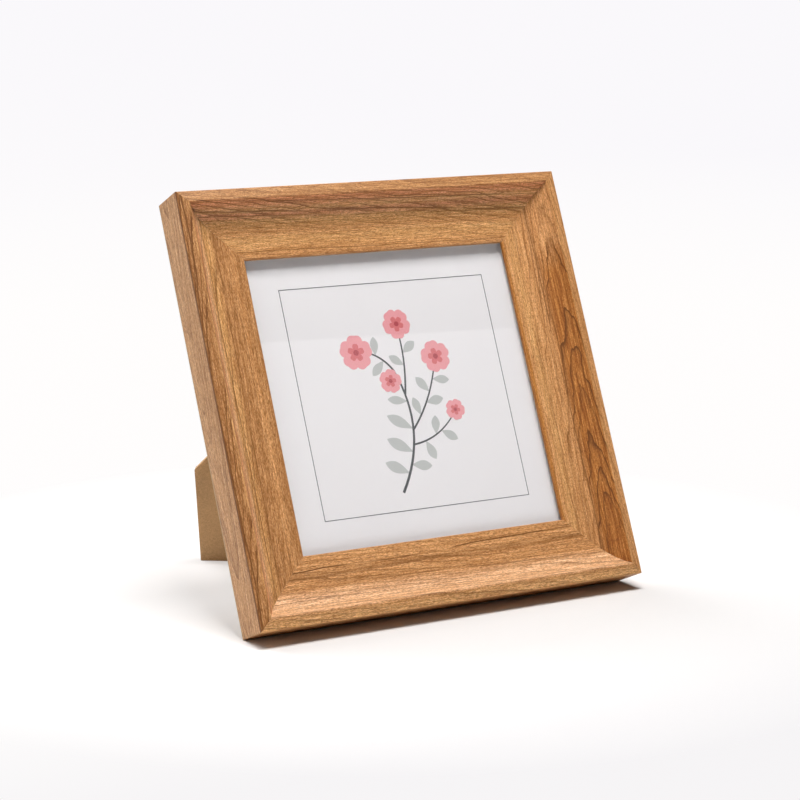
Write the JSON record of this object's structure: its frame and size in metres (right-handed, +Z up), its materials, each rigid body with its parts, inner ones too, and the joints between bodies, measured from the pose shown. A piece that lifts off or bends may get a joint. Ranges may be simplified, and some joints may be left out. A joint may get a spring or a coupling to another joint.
{
  "type": "photo frame",
  "caption": "Square tabletop photo frame of coved wood-grain moulding with a glazed print, a folding strut leg, turn buttons and a ring hanger.",
  "frame": {"origin": "on the surface that the frame stands on, below the middle of the bounding box", "axes": "+Z up, -Y towards the viewer in front of the picture, +X to that viewer's right"},
  "size_m": [0.175, 0.1354, 0.1669],
  "materials": {
    "moulding": "satin wood-grain wrap, warm tan with dark fine grain",
    "fibreboard": "raw medium-density fibreboard, matte",
    "card": "grey board, matte",
    "paper": "coated white paper",
    "glass": "clear float glass",
    "steel": "bright steel",
    "zinc": "zinc-plated sheet"
  },
  "bodies": {
    "frame": {"rail_bottom": "moulding", "rail_right": "moulding", "rail_top": "moulding", "rail_left": "moulding", "nail_bottom_right_outer": "steel", "nail_bottom_right_inner": "steel", "nail_top_right_outer": "steel", "nail_top_right_inner": "steel", "nail_top_left_outer": "steel", "nail_top_left_inner": "steel", "nail_bottom_left_outer": "steel", "nail_bottom_left_inner": "steel", "glass_pane": "glass", "photo_insert": "paper", "packing_card": "card", "back_board": "fibreboard", "hinge_base": "steel", "hinge_pin": "steel", "base_rivet_right": "steel", "base_rivet_left": "steel", "hanger_strap": "zinc", "hanger_rivet": "steel", "button_screw_bottom": "steel", "button_screw_right": "steel", "button_screw_top": "steel", "button_screw_left": "steel"},
    "leg": {"strut_leg": "fibreboard", "hinge_leaf": "steel", "leg_rivet_right": "steel", "leg_rivet_left": "steel"},
    "button_bottom": {"turn_button_bottom": "zinc"},
    "button_right": {"turn_button_right": "zinc"},
    "button_top": {"turn_button_top": "zinc"},
    "button_left": {"turn_button_left": "zinc"},
    "ring": {"hanger_ring": "steel"}
  },
  "joints": [
    {"name": "leg_fold", "type": "hinge", "parent": "frame", "child": "leg", "pos_m": [0.02212, -0.00424, 0.10023], "axis": [-0.6561, 0.307, 0.6895], "range_deg": [0, 47.57]},
    {"name": "turn_bottom", "type": "hinge", "parent": "frame", "child": "button_bottom", "pos_m": [0.022, -0.04315, 0.01703], "axis": [0, 0.9135, -0.4067], "continuous": true},
    {"name": "turn_right", "type": "hinge", "parent": "frame", "child": "button_right", "pos_m": [0.0685, -0.02423, 0.05951], "axis": [0, 0.9135, -0.4067], "continuous": true},
    {"name": "turn_top", "type": "hinge", "parent": "frame", "child": "button_top", "pos_m": [-0.022, 0.01258, 0.14218], "axis": [0, 0.9135, -0.4067], "continuous": true},
    {"name": "turn_left", "type": "hinge", "parent": "frame", "child": "button_left", "pos_m": [-0.0685, -0.00634, 0.0997], "axis": [0, 0.9135, -0.4067], "continuous": true},
    {"name": "ring_swing", "type": "hinge", "parent": "frame", "child": "ring", "pos_m": [0, 0.00771, 0.12793], "axis": [1, 0, 0], "range_deg": [-24, 156]}
  ]
}
